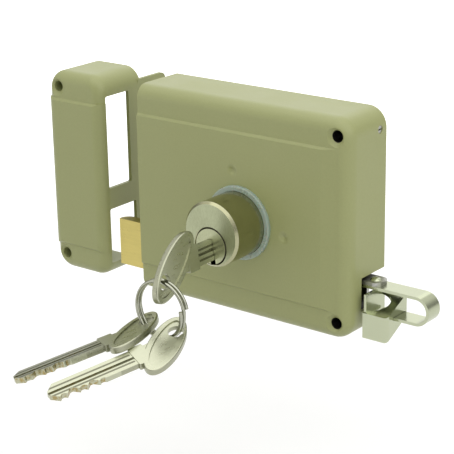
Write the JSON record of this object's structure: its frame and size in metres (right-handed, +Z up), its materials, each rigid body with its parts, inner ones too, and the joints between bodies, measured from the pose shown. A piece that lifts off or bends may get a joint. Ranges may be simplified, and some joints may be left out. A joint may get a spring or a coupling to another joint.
{
  "type": "rim box lock",
  "caption": "Surface-mounted rim lock: pressed steel case with key cylinder, sliding brass latch bolt, pull loop and separate box strike, with keys on a split ring.",
  "frame": {"origin": "centre of the case's back face, the face that lies on the door", "axes": "+X towards the pull, away from the strike; +Y into the door; +Z up"},
  "size_m": [0.1865, 0.1466, 0.0915],
  "materials": {
    "painted_steel": "satin olive beige paint",
    "zinc_steel": "zinc plated",
    "black_steel": "black oxide",
    "nickel_brass": "satin nickel on brass",
    "brass": "drawn and brushed",
    "key_nickel": "nickel plated brass, rubbed",
    "chrome": "bright plate",
    "spring_steel": "bright spring wire",
    "washer_plastic": "translucent"
  },
  "bodies": {
    "case": {"case_cover": "painted_steel", "back_plate": "zinc_steel", "forend_plate": "zinc_steel", "mount_sleeves": "black_steel", "side_screw": "black_steel", "cylinder_body": "nickel_brass", "cylinder_washer": "washer_plastic", "cylinder_clamp_plate": "zinc_steel", "clamp_pillars": "zinc_steel", "clamp_screws": "zinc_steel", "driver_pins": "brass", "pin_springs": "spring_steel", "guide_post": "zinc_steel", "spring_bracket": "zinc_steel", "spring_rod": "zinc_steel", "bolt_spring": "spring_steel"},
    "bolt": {"bolt_head": "brass", "bolt_tail": "zinc_steel", "bolt_rivets": "brass", "pull_loop": "chrome", "pull_rivet": "chrome", "thumb_block": "chrome"},
    "plug": {"plug": "nickel_brass", "key_1": "key_nickel", "key_pins": "brass", "cam": "zinc_steel", "cam_screw": "zinc_steel"},
    "ring": {"split_ring": "chrome"},
    "key_2": {"key_2": "key_nickel"},
    "key_3": {"key_3": "key_nickel"},
    "strike": {"strike_box": "painted_steel", "strike_sleeves": "black_steel"}
  },
  "joints": [
    {"name": "key_turn", "type": "hinge", "parent": "case", "child": "plug", "pos_m": [0.0006, -0.0457, -0.0092], "axis": [0, -1, 0], "range_deg": [0, 90]},
    {"name": "bolt_slide", "type": "slide", "parent": "case", "child": "bolt", "axis": [1, 0, 0], "range_m": [0, 0.0164], "stiffness_N_per_m": 4, "springref_m": -0.035, "deforming": ["bolt_spring"]},
    {"name": "ring_swing", "type": "hinge", "parent": "plug", "child": "ring", "pos_m": [0.00155, -0.0761, -0.01462], "axis": [0.9912, 0, -0.132], "range_deg": [-15, 15]},
    {"name": "key_2_swing", "type": "hinge", "parent": "ring", "child": "key_2", "pos_m": [-0.00787, -0.0761, -0.03412], "axis": [0.7193, 0, -0.6947], "range_deg": [0, 30]},
    {"name": "key_3_swing", "type": "hinge", "parent": "ring", "child": "key_3", "pos_m": [0.00753, -0.0761, -0.03452], "axis": [0.7547, 0, 0.6561], "range_deg": [0, 30]},
    {"name": "strike_slide", "type": "slide", "parent": "case", "child": "strike", "axis": [1, 0, 0], "range_m": [0, 0.018]}
  ],
  "couplings": [
    {"joint": "bolt_slide", "follows": "key_turn", "m_per_rad": 0.010441}
  ]
}
